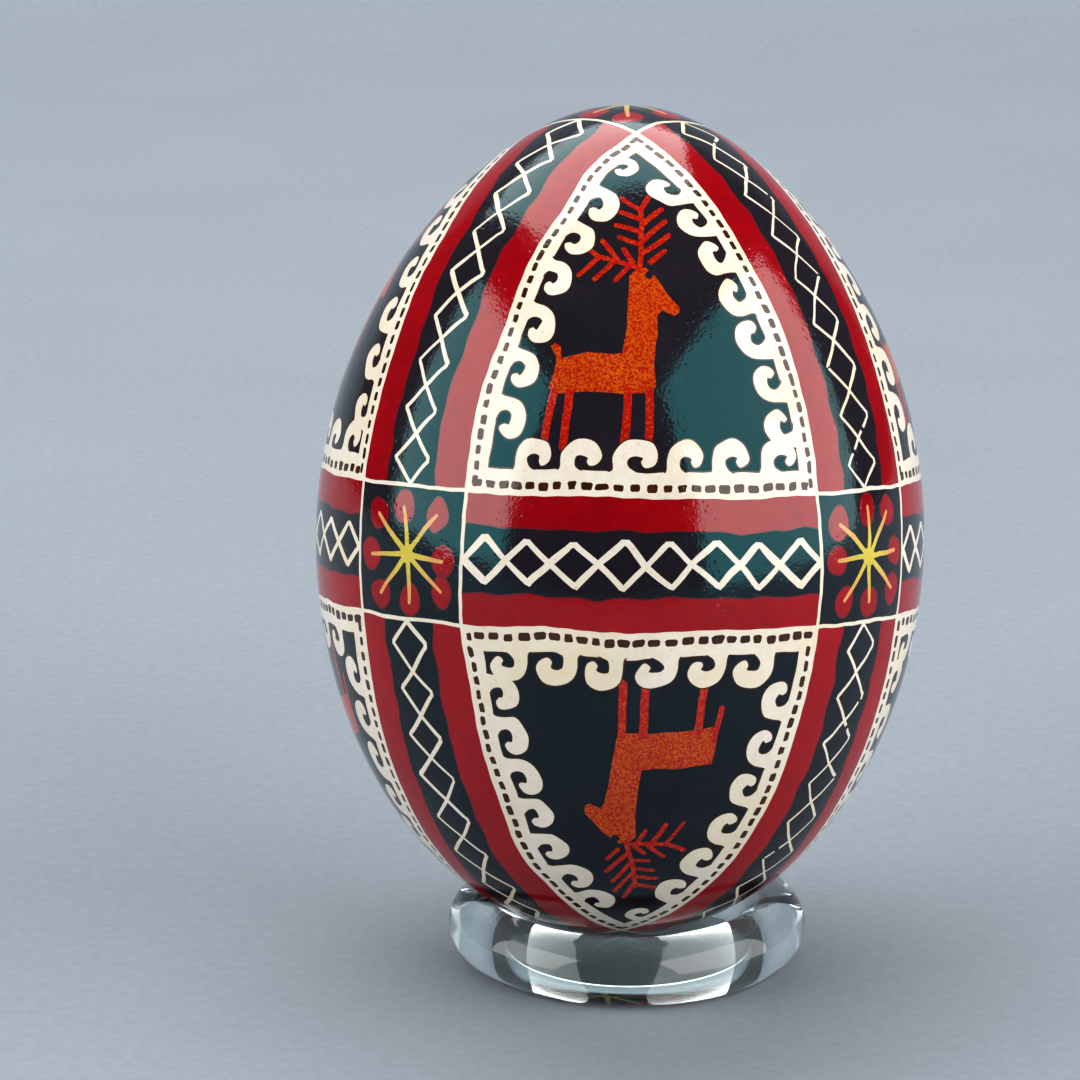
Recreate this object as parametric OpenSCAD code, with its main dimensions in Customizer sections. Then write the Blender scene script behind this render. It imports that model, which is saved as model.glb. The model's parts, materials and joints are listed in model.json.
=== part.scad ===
// Pysanka: a wax-resist dyed hen's egg that stands, blunt end down, in a clear glass ring.
// Millimetres, +Z up. The origin is the centre of the ring's foot, on the table.
// The egg's front faces -Y. The egg is whole, so its dried contents are still inside.

/* [Egg] */
// Widest diameter of the finished egg
egg_d = 44; // [40:0.5:48]
// Height of the finished egg from the blunt end to the narrow end
egg_h = 60.1; // [54:0.1:64]
// How much slimmer the narrow end is than the blunt end
taper = 0.044; // [0:0.002:0.1]
// How much both ends are drawn in from a true ellipse
end_draw = 0.06; // [0:0.002:0.1]
// How much the narrow end alone is drawn to a point
tip_draw = 0.064; // [0:0.002:0.1]

/* [Walls] */
// Thickness of the clear varnish
varnish_t = 0.05; // [0.03:0.01:0.1]
// Thickness of the shell
shell_t = 0.35; // [0.3:0.01:0.45]
// Thickness of the outer shell membrane
outer_membrane_t = 0.06; // [0.05:0.01:0.1]
// Thickness of the inner shell membrane
inner_membrane_t = 0.05; // [0.04:0.01:0.1]

/* [Dried contents] */
// Place of the air cell's rim, in degrees from the narrow end
air_cell_rim = 127.5; // [120:2.5:140]
// Depth by which the inner membrane sags across the air cell
membrane_sag = 3; // [2:0.1:4]
// Thickness of the dried white in its middle
white_t = 1.4; // [0.8:0.1:2]
// Share of the air cell's width that the dried white covers
white_reach = 0.9; // [0.6:0.05:0.9]
// Width of the dried yolk
yolk_d = 25; // [20:0.5:27]
// Height of the dried yolk
yolk_h = 22; // [18:0.5:25]

/* [Ring stand] */
// Thickness of the glass rod that the ring is bent from
rod_d = 5; // [4:0.1:6]
// Diameter of the circle along the middle of the rod
ring_d = 21.3; // [20:0.1:24]
// Height ground off the rod to make the flat foot
foot_cut = 0.08; // [0.05:0.01:0.3]

/* [Seat] */
// Angle by which the egg leans back, away from its front
lean_back = 9.1; // [0:0.1:12]
// Angle by which the egg leans to its right-hand side
lean_side = 0.8; // [0:0.1:3]
// Distance that the egg sits to the left of the ring's centre
seat_shift = 0.8; // [0:0.1:1.5]
// Clearance between the egg and the ring
seat_gap = 0.04; // [0.03:0.01:0.1]

/* [Hidden] */

// Angle between the steps along the egg's side, and the number of steps around turned parts
side_step = 2.5;
turn_fn = 128;
// Number of steps across the air cell
cell_steps = 20;
// Depths of the walls' faces below the finished surface
shell_top = varnish_t;
outer_membrane_top = shell_top + shell_t;
inner_membrane_top = outer_membrane_top + outer_membrane_t;
cavity_top = inner_membrane_top + inner_membrane_t;
// Gap that keeps the loose yolk off the dried white
yolk_gap = 0.1;
// Thickness of the dried white at its edge
white_edge = 0.15;
// Height of the rod's middle above the table
rod_z = rod_d / 2 - foot_cut;
// Point on the egg's axis that it rolls about in the ring, from the egg's middle
roll_z = -0.2 * egg_h;

// Half-width of the egg at an angle from the narrow end, before scaling
function swell(a) = sin(a) * (1 - taper * cos(a) - end_draw * pow(cos(a), 2) - tip_draw * pow(cos(a), 3));
swell_max = max([for (a = [70:0.25:110]) swell(a)]);

// Point of the egg's profile, as radius and height from the egg's middle
function profile(a) = [egg_d / 2 * swell(a) / swell_max, egg_h / 2 * cos(a)];
// Outward unit normal of the profile
function normal(a) = let (d = profile(a + 0.05) - profile(a - 0.05)) [-d.y, d.x] / norm(d);
// Point of the profile at a depth below the finished surface
function wall(a, depth) = let (p = profile(a) - depth * normal(a)) [max(p.x, 0), p.y];

// The wall's points at one depth, from the narrow end down to an angle
function wall_line(to, depth) = [for (a = [0:side_step:to]) wall(a, depth)];
function reversed(line) = [for (i = [len(line) - 1:-1:0]) line[i]];

// A point of the egg after it leans, from the egg's roll centre
function lean(p) = let (
    y = p.y * cos(lean_back) + p.z * sin(lean_back),
    z = -p.y * sin(lean_back) + p.z * cos(lean_back)
) [p.x * cos(lean_side) + z * sin(lean_side) - seat_shift, y, -p.x * sin(lean_side) + z * cos(lean_side)];

// Height that the roll centre needs for one point of the egg to clear the rod
function lift_for(p) = let (
    reach = rod_d / 2 + seat_gap,
    off = norm([p.x, p.y]) - ring_d / 2
) abs(off) < reach ? rod_z + sqrt(reach * reach - off * off) - p.z : 0;

// Height of the roll centre with the egg resting in the ring
seat_z = max([
    for (a = [120:1:175])
        for (turn = [0:5:355])
            let (w = wall(a, 0)) lift_for(lean([w.x * cos(turn), w.x * sin(turn), w.y - roll_z]))
]);

// The air cell's rim, and the upper face of the membrane across it
rim = wall(air_cell_rim, cavity_top);
function membrane_z(r) = rim.y - membrane_sag * (1 - pow(r / rim.x, 2));
// Upper face of the dried white, which stops at a step of the membrane
white_steps = round(white_reach * cell_steps);
white_r = rim.x * white_steps / cell_steps;
function white_z(r) = membrane_z(r) + white_edge + (white_t - white_edge) * (1 - pow(r / white_r, 2));

// Radii across the air cell, from a step of the membrane in to the axis
function across(steps) = [for (i = [steps:-1:0]) rim.x * i / cell_steps];

module seated() {
    translate([-seat_shift, 0, seat_z])
        rotate([-lean_back, lean_side, 0])
            translate([0, 0, -roll_z])
                children();
}

// A closed wall that follows the egg between two depths
module egg_wall(top, bottom) {
    rotate_extrude($fn = turn_fn)
        polygon(concat(wall_line(180, top), reversed(wall_line(180, bottom))));
}

module ring_stand() {
    color("lightcyan", 0.4)
        rotate_extrude($fn = turn_fn)
            difference() {
                translate([ring_d / 2, rod_z])
                    circle(d = rod_d, $fn = 96);
                translate([ring_d / 2 - rod_d, -rod_d])
                    square([2 * rod_d, rod_d]);
            }
}

module varnish() {
    color("black")
        seated()
            egg_wall(0, shell_top);
}

module shell() {
    color("ivory")
        seated()
            egg_wall(shell_top, outer_membrane_top);
}

module outer_membrane() {
    color("seashell")
        seated()
            egg_wall(outer_membrane_top, inner_membrane_top);
}

// The inner membrane follows the outer one down to the air cell, then crosses the egg
module inner_membrane() {
    outside = wall_line(air_cell_rim, inner_membrane_top);
    under = [for (r = across(cell_steps)) [r, membrane_z(r) - inner_membrane_t]];
    over = [for (r = across(cell_steps - 1)) [r, membrane_z(r)]];
    inside = wall_line(air_cell_rim, cavity_top);
    color("linen")
        seated()
            rotate_extrude($fn = turn_fn)
                polygon(concat(outside, under, reversed(over), reversed(inside)));
}

module dried_white() {
    lower = [for (r = across(white_steps)) [r, membrane_z(r)]];
    upper = [for (r = across(white_steps)) [r, white_z(r)]];
    color("khaki")
        seated()
            rotate_extrude($fn = turn_fn)
                polygon(concat(lower, reversed(upper)));
}

module dried_yolk() {
    middle_z = white_z(0) + yolk_gap + yolk_h / 2;
    side = [for (a = [0:2 * side_step:180]) [yolk_d / 2 * sin(a), middle_z + yolk_h / 2 * cos(a)]];
    color("peru")
        seated()
            rotate_extrude($fn = turn_fn)
                polygon(side);
}

ring_stand();
varnish();
shell();
outer_membrane();
inner_membrane();
dried_white();
dried_yolk();
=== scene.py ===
import json
import math
from functools import cache

import bpy
import numpy as np
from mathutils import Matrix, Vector, noise
from mathutils.geometry import delaunay_2d_cdt


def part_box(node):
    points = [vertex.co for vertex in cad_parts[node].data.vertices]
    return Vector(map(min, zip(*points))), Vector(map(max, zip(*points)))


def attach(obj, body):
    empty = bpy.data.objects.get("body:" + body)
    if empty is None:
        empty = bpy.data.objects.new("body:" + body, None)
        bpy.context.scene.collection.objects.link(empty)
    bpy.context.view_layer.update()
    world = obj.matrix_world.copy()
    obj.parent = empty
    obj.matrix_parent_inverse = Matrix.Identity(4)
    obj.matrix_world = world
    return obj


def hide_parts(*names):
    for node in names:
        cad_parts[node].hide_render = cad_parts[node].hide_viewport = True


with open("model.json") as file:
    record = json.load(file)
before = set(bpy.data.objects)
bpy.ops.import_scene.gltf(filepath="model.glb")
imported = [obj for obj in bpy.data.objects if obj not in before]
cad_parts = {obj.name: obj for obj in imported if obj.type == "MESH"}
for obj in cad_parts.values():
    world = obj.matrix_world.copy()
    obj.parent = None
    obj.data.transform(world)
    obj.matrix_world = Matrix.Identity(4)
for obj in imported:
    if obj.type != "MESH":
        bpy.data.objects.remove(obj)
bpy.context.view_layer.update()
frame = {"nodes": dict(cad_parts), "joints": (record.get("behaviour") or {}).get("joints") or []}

# ---- driving values
# The pattern is worked out in millimetres in the egg's own frame: x to the right of its front,
# y to its back, z along its axis towards the narrow end, and the origin halfway up the axis.
MM = 0.001
TURN = 2 * math.pi
# The same profile as the CAD's egg
TAPER = 0.044
END_DRAW = 0.06
TIP_DRAW = 0.064
# Thickness of the shell pieces: the CAD's varnish and shell, less a little to clear the membrane
SKIN = 0.385
# Middle and half-width of the band round the egg
BELT_Z = -0.73
BELT_HALF = 4.66
# The four upright bands: azimuth from the front towards the right, in degrees, and half-width
ARMS = [(-128.8, 4.80), (-42.8, 4.88), (51.2, 4.80), (137.2, 4.88)]
# Half-width of the wax lines between fields, of the black stripe along a band, and of its diamonds
LINE_HALF = 0.14
STRIPE_HALF = 2.25
DIAMOND_HALF = 1.48
# Stroke width, pitch, and number of gaps in each zigzag, for the belt and for even and odd arms
BELT_CHAIN = (0.42, 3.3, 0)
ARM_CHAINS = [(0.23, 3.6, 3), (0.3, 3.6, 0)]
# Width of the dull red edge round red and black dye
EDGE_LINE = 0.09
# Reach of the stars on the belt and on the egg's ends, and half-size of an end's square
STAR_REACH = 3.95
END_STAR_REACH = 4.2
END_HALF = 5.0
# Pitch of the points along a border, and across a field
STEP = 0.6
GRID = 1.05
# The photo's view: azimuth and elevation in degrees, distance in metres, and focal length
VIEW_TURN = -0.25
VIEW_RISE = 15.0
VIEW_DISTANCE = 0.3294
LENS = 151.6
# How far the camera aims to the right of the egg's middle and above it, in metres
AIM_RIGHT = -0.00579
AIM_UP = -0.00136
SEED = 11
rng = np.random.RandomState(SEED)


# ---- the egg's surface
def packed_points(node):
    return [v.co for v in frame["nodes"][node].data.vertices]


def egg_frame():
    """Middle, height, radius and axes of the egg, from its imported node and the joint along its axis."""
    joint = next(j for j in frame["joints"] if j["name"] == "yolk_rattle")
    axis = Vector(joint["axis"]).normalized()
    points = packed_points("varnish")
    tip = max(points, key=axis.dot)
    butt = min(points, key=axis.dot)
    middle = (tip + butt) / 2
    radius = max((p - middle).cross(axis).length for p in points)
    right = Vector((axis.z, 0, -axis.x)).normalized()
    return middle, (tip - butt).length / MM, radius / MM, right, axis.cross(right), axis


MIDDLE, HEIGHT, RADIUS, RIGHT, BACK, UP = egg_frame()
TO_WORLD = np.array([RIGHT, BACK, UP])


def swell(a):
    c = np.cos(a)
    return np.sin(a) * (1 - TAPER * c - END_DRAW * c**2 - TIP_DRAW * c**3)


# Tables along the egg's side, from the blunt end to the narrow end
ANGLE = np.linspace(math.pi, 0, 2881)
SIDE_R = RADIUS * swell(ANGLE) / swell(ANGLE).max()
SIDE_Z = HEIGHT / 2 * np.cos(ANGLE)
ARC = np.concatenate([[0], np.cumsum(np.hypot(np.diff(SIDE_R), np.diff(SIDE_Z)))])
ARC = ARC - np.interp(BELT_Z, SIDE_Z, ARC)
POLAR = np.arctan2(SIDE_R, SIDE_Z)
REACH = np.hypot(SIDE_R, SIDE_Z)
NORMAL_R = np.gradient(SIDE_Z, ARC)
NORMAL_Z = -np.gradient(SIDE_R, ARC)
# Height on an angle-true map, which has no end at the poles, so it stops short of them
CLIMB_ARC = ARC[6:-6]
CLIMB_R = SIDE_R[6:-6]
CLIMB = np.concatenate([[0], np.cumsum(np.diff(CLIMB_ARC) / (CLIMB_R[1:] + CLIMB_R[:-1]) * 2)])


def radius_at(arc):
    return np.interp(arc, ARC, SIDE_R)


def at(phi, arc):
    """Point of the surface at an azimuth in radians and an arc above the belt's middle line."""
    r = radius_at(arc)
    return np.stack([r * np.sin(phi), -r * np.cos(phi), np.interp(arc, ARC, SIDE_Z)], -1)


def from_tip(points):
    """Angle of each point from the narrow end, seen from the egg's middle."""
    return np.arctan2(np.hypot(points[:, 0], points[:, 1]), points[:, 2])


def on_egg(points):
    """Points moved to the surface along the line from the egg's middle."""
    reach = np.interp(-from_tip(points), -POLAR, REACH)
    return points * (reach / np.linalg.norm(points, axis=1))[:, None]


def arc_of(points):
    return np.interp(-from_tip(points), -POLAR, ARC)


def normals_at(points):
    arc = arc_of(points)
    r = np.maximum(np.hypot(points[:, 0], points[:, 1]), 1e-9)
    nr = np.interp(arc, ARC, NORMAL_R)
    nz = np.interp(arc, ARC, NORMAL_Z)
    n = np.stack([nr * points[:, 0] / r, nr * points[:, 1] / r, nz], -1)
    return n / np.linalg.norm(n, axis=1)[:, None]


def unsteady(points):
    """The small wander of a hand-held pen, the same for every line through a point."""
    waves = np.random.RandomState(SEED + 1)
    moved = np.zeros_like(points)
    for length, size, count in ((6.5, 0.075, 9), (1.7, 0.022, 12)):
        for _ in range(count):
            way = waves.normal(size=3)
            way /= np.linalg.norm(way)
            push = waves.normal(size=3) * size / math.sqrt(count) * 1.4
            moved += np.sin(points @ way * 2 * math.pi / length + waves.uniform(0, 6.3))[:, None] * push
    return on_egg(points + moved)


def stamp(spot, along, shape, bend=24.0):
    """A flat outline in millimetres laid on the surface at a spot, its x axis along a tangent direction."""
    n = normals_at(spot[None])[0]
    x_way = along - n * along.dot(n)
    x_way /= np.linalg.norm(x_way)
    y_way = np.cross(n, x_way)
    shape = np.asarray(shape, float)
    far = np.maximum(np.hypot(shape[:, 0], shape[:, 1]), 1e-9)
    turn = far / bend
    side = (shape / far[:, None]) @ np.stack([x_way, y_way])
    return on_egg(spot + bend * np.sin(turn)[:, None] * side - bend * (1 - np.cos(turn))[:, None] * n)


def east(phi):
    return np.array([math.cos(phi), math.sin(phi), 0.0])


# ---- flat drawing helpers
def smooth(points, steps):
    """Closed Catmull-Rom curve through given points."""
    p = np.asarray(points, float)
    n = len(p)
    out = []
    for i in range(n):
        a, b, c, d = p[i - 1], p[i], p[(i + 1) % n], p[(i + 2) % n]
        for k in range(steps):
            t = k / steps
            out.append(0.5 * (2 * b + (c - a) * t + (2 * a - 5 * b + 4 * c - d) * t * t
                              + (3 * b - a - 3 * c + d) * t**3))
    return np.array(out)


def offset(line, distance):
    """A polyline moved to its left, with mitred corners."""
    line = np.asarray(line, float)
    step = np.diff(line, axis=0)
    step /= np.maximum(np.linalg.norm(step, axis=1), 1e-12)[:, None]
    left = np.stack([-step[:, 1], step[:, 0]], -1)
    first = np.vstack([left[:1], left])
    last = np.vstack([left, left[-1:]])
    bisector = first + last
    length2 = np.maximum((bisector**2).sum(1), 0.8)
    return line + bisector * 2 / length2[:, None] * np.reshape(distance, (-1, 1))


def stroke(line, width):
    """Outline of a pen stroke along a polyline; width is one number or one for each point."""
    half = np.broadcast_to(np.asarray(width, float) / 2, (len(line),))
    return np.vstack([offset(line, -half), offset(line, half)[::-1]])


def pen(start, end, width, taper=0.75):
    """A short straight stroke with a round far end."""
    start, end = np.array(start, float), np.array(end, float)
    way = (end - start) / np.linalg.norm(end - start)
    left = np.array([-way[1], way[0]])
    tip = width / 2 * taper
    cap = [end + tip * (math.cos(a) * way - math.sin(a) * left) for a in (-1.57, -0.8, 0, 0.8, 1.57)]
    return np.array([start + left * width / 2] + cap + [start - left * width / 2])


def blob(x, y, rx, ry, count=20, rough=0.05):
    """A round drop of dye with a slightly uneven rim."""
    a = np.arange(count) * 2 * math.pi / count
    lumps = sum(rng.normal() * np.sin(a * k + rng.uniform(0, 6.3)) for k in (2, 3, 4)) * rough / 2
    return np.stack([x + rx * (1 + lumps) * np.cos(a), y + ry * (1 + lumps) * np.sin(a)], -1)


def ripple(count, pitch_points, size):
    """Smooth random wave, one value for each of count points."""
    knots = rng.normal(size=max(4, count // pitch_points + 3)) * size
    where = np.linspace(0, len(knots) - 1.001, count)
    i = where.astype(int)
    t = where - i
    t = t * t * (3 - 2 * t)
    return knots[i] * (1 - t) + knots[np.minimum(i + 1, len(knots) - 1)] * t


def signed_area(outline):
    x, y = outline[:, 0], outline[:, 1]
    return float(np.sum(x * np.roll(y, -1) - y * np.roll(x, -1))) / 2


def within(points, outline):
    """Which points an outline winds round."""
    low, high = outline.min(0), outline.max(0)
    near = np.all((points >= low) & (points <= high), axis=1)
    result = np.zeros(len(points), bool)
    p = points[near]
    turns = np.zeros(len(p), int)
    for a, b in zip(outline, np.roll(outline, -1, axis=0)):
        if a[1] == b[1]:
            continue
        rising = (a[1] <= p[:, 1]) & (p[:, 1] < b[1])
        falling = (b[1] <= p[:, 1]) & (p[:, 1] < a[1])
        side = (b[0] - a[0]) * (p[:, 1] - a[1]) - (p[:, 0] - a[0]) * (b[1] - a[1])
        turns += (rising & (side > 0)).astype(int) - (falling & (side < 0)).astype(int)
    result[near] = turns != 0
    return result


# ---- the pattern's division lines
SPIN = [math.radians(a) for a, _ in ARMS]
WIDE = [w for _, w in ARMS]


def arm_phi(i, u, arc):
    """Azimuth of the point that is u to the right of an arm's middle line, at an arc."""
    return SPIN[i] + np.arcsin(np.clip(u / radius_at(arc), -1, 1))


def corner_plan(i):
    """Plan position of the corner where arms i and i + 1 meet near either end of the egg."""
    j = (i + 1) % 4
    rows = np.array([[math.cos(SPIN[i]), math.sin(SPIN[i])], [math.cos(SPIN[j]), math.sin(SPIN[j])]])
    return np.linalg.solve(rows, [WIDE[i], -WIDE[j]])


def arc_at_radius(r, up):
    widest = SIDE_R.argmax()
    if up > 0:
        return np.interp(-r, -SIDE_R[widest:], ARC[widest:])
    return np.interp(r, SIDE_R[:widest], ARC[:widest])


BELT_EDGE = {up: float(np.interp(BELT_Z + up * BELT_HALF, SIDE_Z, ARC)) for up in (1, -1)}
CORNER_ARC = {up: [float(arc_at_radius(np.linalg.norm(corner_plan(i)), up)) for i in range(4)]
              for up in (1, -1)}


def steps_for(length):
    return np.linspace(0, 1, max(3, int(round(abs(length) / STEP)) + 1))


@cache
def upright_edge(i, side, up):
    """Border of an arm from the belt to the corner of the end square."""
    end = CORNER_ARC[up][i if side > 0 else i - 1]
    arc = BELT_EDGE[up] + (end - BELT_EDGE[up]) * steps_for(end - BELT_EDGE[up])
    return at(arm_phi(i, side * WIDE[i], arc), arc)


@cache
def square_side(i, side):
    """Upright side of a star square, from the belt's lower edge to its upper edge."""
    arc = BELT_EDGE[-1] + (BELT_EDGE[1] - BELT_EDGE[-1]) * steps_for(2 * BELT_HALF)
    return at(arm_phi(i, side * WIDE[i], arc), arc)


def parallel(first, last, length, arc):
    """Points along a parallel of the egg between two azimuths."""
    share = steps_for(length)
    return at(first + (last - first) * share, np.full(len(share), arc))


@cache
def square_end(i, up):
    """The edge between a star square and the arm above or below it, left to right."""
    first, last = (arm_phi(i, s * WIDE[i], BELT_EDGE[up]) for s in (-1, 1))
    return parallel(first, last, 2 * WIDE[i], BELT_EDGE[up])


@cache
def belt_side(i, up):
    """The edge between the belt and the panel right of arm i, left to right."""
    j = (i + 1) % 4
    arc = BELT_EDGE[up]
    first = arm_phi(i, WIDE[i], arc)
    last = first + (arm_phi(j, -WIDE[j], arc) - first) % TURN
    return parallel(first, last, (last - first) * radius_at(arc), arc)


@cache
def tip_side(i, up):
    """The edge between an arm and the square on the egg's end, left to right."""
    first, last = corner_plan((i - 1) % 4), corner_plan(i)
    plan = first + (last - first) * steps_for(np.linalg.norm(last - first))[:, None]
    arc = arc_at_radius(np.linalg.norm(plan, axis=1), up)
    return at(np.arctan2(plan[:, 0], -plan[:, 1]), arc)


# ---- regions: painted, then cut into triangles
class Region:
    """One field of the pattern, with its border and its layers of dye in painting order."""

    def __init__(self, borders, centre=0.0, end=0):
        self.centre = centre
        self.end = end
        self.border = np.vstack([b[:-1] for b in borders])
        self.layers = []

    def chart(self, points):
        """Angle-true map of the surface: azimuth and climb, or the plan for an end square."""
        if self.end:
            return np.stack([points[:, 0], self.end * points[:, 1]], -1)
        phi = np.arctan2(points[:, 0], -points[:, 1]) - self.centre
        phi = (phi + math.pi) % TURN - math.pi
        return np.stack([phi, np.interp(arc_of(points), CLIMB_ARC, CLIMB)], -1)

    def unchart(self, flat):
        if self.end:
            r = np.hypot(flat[:, 0], flat[:, 1])
            return at(np.arctan2(flat[:, 0], -self.end * flat[:, 1]), arc_at_radius(r, self.end))
        return at(flat[:, 0] + self.centre, np.interp(flat[:, 1], CLIMB, CLIMB_ARC))

    def paint(self, dye, points):
        self.layers.append((dye, self.chart(np.asarray(points))))

    def paint_flat(self, dye, flat):
        self.layers.append((dye, np.asarray(flat)))

    def inside_points(self):
        """Points spread evenly over the region, about GRID apart, so that its triangles follow the egg."""
        flat = self.chart(self.border)
        low, high = flat.min(0), flat.max(0)
        points = []
        if self.end:
            for x in np.arange(low[0], high[0], GRID):
                points += [(x, y) for y in np.arange(low[1], high[1], GRID)]
            return np.array(points)
        y = low[1]
        row = 0
        while y < high[1]:
            pitch = GRID / radius_at(np.interp(y, CLIMB, CLIMB_ARC))
            y += pitch
            row += 1
            points += [(x, y) for x in np.arange(low[0] + pitch * (0.25 + 0.5 * (row % 2)), high[0], pitch)]
        return np.array(points)

    def cut(self):
        """The painted region as points in millimetres, triangles, and the dye of each triangle."""
        outlines = [("cream", self.chart(self.border))] + self.layers
        outlines = [(name, line if signed_area(line) > 0 else line[::-1]) for name, line in outlines]
        drawn = np.vstack([o for _, o in outlines])
        scatter = self.inside_points()
        scale = 1.0 if self.end else radius_at(self.centre_arc())
        keep = [p for p in scatter if np.min(np.abs(drawn - p).sum(1)) * scale > 0.28]
        flat = [Vector(p) for p in np.vstack([drawn, keep])]
        lines, start = [], 0
        for _, outline in outlines:
            ring = list(range(start, start + len(outline)))
            lines += zip(ring, ring[1:] + ring[:1])
            start += len(outline)
        merge = 5e-4 if self.end else 2.5e-5
        points, _, triangles, from_points, _, _ = delaunay_2d_cdt(flat, lines, [], 0, merge, True)
        points = np.array([tuple(p) for p in points])
        triangles = np.array([tuple(t) for t in triangles])
        middles = points[triangles].mean(axis=1)
        dyes = np.full(len(triangles), "outside", dtype=object)
        for name, outline in outlines:
            dyes[within(middles, outline)] = name
        solid = self.unchart(points)
        for i, sources in enumerate(from_points):
            fixed = [s for s in sources if s < len(self.border)]
            if fixed:
                solid[i] = self.border[fixed[0]]
        kept = dyes != "outside"
        return solid, triangles[kept], dyes[kept]

    def centre_arc(self):
        return float(arc_of(self.border).mean())


def paint_chain(region, place, length, width, pitch, gaps):
    """Two zigzag strokes that cross to make a chain of diamonds, with round peaks on one side.

    place maps (along, across) in millimetres to the surface."""
    count = max(2, int(round(length / pitch)))
    knots = np.linspace(LINE_HALF, length - LINE_HALF, 2 * count + 1)
    for sign in (1, -1):
        line = []
        for k, x in enumerate(knots):
            peak = 0 if k % 2 == 0 else sign * (1 if (k // 2) % 2 == 0 else -1)
            v = peak * DIAMOND_HALF * rng.uniform(0.93, 1.05) + rng.normal() * 0.04
            u = x + (rng.normal() * 0.09 if 0 < k < 2 * count else 0)
            if peak > 0:
                line += [(u - 0.42, v - 0.3), (u - 0.14, v - 0.02)]
                line += [(u + 0.16, v - 0.02), (u + 0.44, v - 0.3)]
            elif peak < 0:
                line += [(u - 0.09, v + 0.06), (u + 0.08, v)]
            else:
                line.append((u, v * 0.6))
        for part in broken(np.array(line), gaps):
            widths = width * (1 + ripple(len(part), 3, 0.13))
            region.paint("cream", place(*dense(stroke(part, widths), 0.55).T))


def broken(line, gaps):
    """A pen line with a number of short gaps, where the wax did not hold."""
    cuts = sorted(rng.choice(np.arange(3, len(line) - 3), gaps, replace=False)) if gaps else []
    begin = line[:1]
    last = 1
    for cut in cuts:
        step = line[cut] - line[cut - 1]
        middle = line[cut - 1] + step * 0.5
        gap = step / np.linalg.norm(step) * min(0.2, np.linalg.norm(step) * 0.3)
        yield np.vstack([begin, line[last:cut], [middle - gap]])
        begin, last = [middle + gap], cut
    yield np.vstack([begin, line[last:]])


def dense(outline, most):
    """A closed outline with extra points where its sides are longer than most."""
    out = []
    for a, b in zip(outline, np.roll(outline, -1, axis=0)):
        n = max(1, int(math.ceil(np.linalg.norm(b - a) / most)))
        out += [a + (b - a) * k / n for k in range(n)]
    return np.array(out)


def ribbon(x, low, high):
    """Outline of a strip between two edges."""
    return dense(np.vstack([np.stack([x, low], -1), np.stack([x, high], -1)[::-1]]), 0.7)


def paint_band(region, place, length, half, chain):
    """Red band with a wavy-edged black stripe along its middle and a chain of diamonds on the stripe."""
    count = int(length / 0.45)
    x = np.linspace(LINE_HALF, length - LINE_HALF, count)
    edge = half - LINE_HALF
    region.paint("red", place(*ribbon(x, np.full(count, -edge), np.full(count, edge)).T))
    waves = []
    for sign in (-1, 1):
        scallop = 0.17 * (np.abs(np.sin(x / 3.4 * math.pi + rng.uniform(0, 3))) - 0.6)
        scallop = scallop + ripple(count, 5, 0.07)
        waves.append(sign * (STRIPE_HALF + scallop))
    for dye, grow in (("dull_red", EDGE_LINE), ("black", 0.0)):
        region.paint(dye, place(*ribbon(x, waves[0] - grow, waves[1] + grow).T))
    paint_chain(region, place, length, *chain)


def belt_region(i):
    """Belt between the star squares of arms i and i + 1."""
    j = (i + 1) % 4
    borders = [belt_side(i, -1), square_side(j, -1), belt_side(i, 1)[::-1], square_side(i, 1)[::-1]]
    first = arm_phi(i, WIDE[i], 0.0)
    span = (arm_phi(j, -WIDE[j], 0.0) - first) % TURN
    region = Region(borders, first + span / 2)
    length = span * radius_at(0.0)

    def place(x, v):
        low = arm_phi(i, WIDE[i], v)
        wide = (arm_phi(j, -WIDE[j], v) - low) % TURN
        return at(low + wide * x / length, v)
    paint_band(region, place, length, BELT_EDGE[1], BELT_CHAIN)
    return region


def facing_out(borders, up):
    """Borders drawn for the upper half, turned to run anticlockwise on the half where they are."""
    return borders if up > 0 else [b[::-1] for b in borders[::-1]]


def arm_region(i, up):
    """Upright band of arm i from its star square to the square on the egg's end."""
    tip = tip_side(i, up)
    borders = [square_end(i, up), upright_edge(i, 1, up), tip[::-1], upright_edge(i, -1, up)[::-1]]
    region = Region(facing_out(borders, up), SPIN[i])
    across = tip[:, 0] * math.cos(SPIN[i]) + tip[:, 1] * math.sin(SPIN[i])
    tip_arc = arc_of(tip)
    start = BELT_EDGE[up]
    length = float(abs(np.interp(0.0, across, tip_arc) - start))

    def place(x, u):
        end = np.interp(u, across, tip_arc)
        arc = start + (end - start) * x / length
        return at(arm_phi(i, u, arc), arc)
    paint_band(region, place, length, WIDE[i], ARM_CHAINS[i % 2])
    return region


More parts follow.
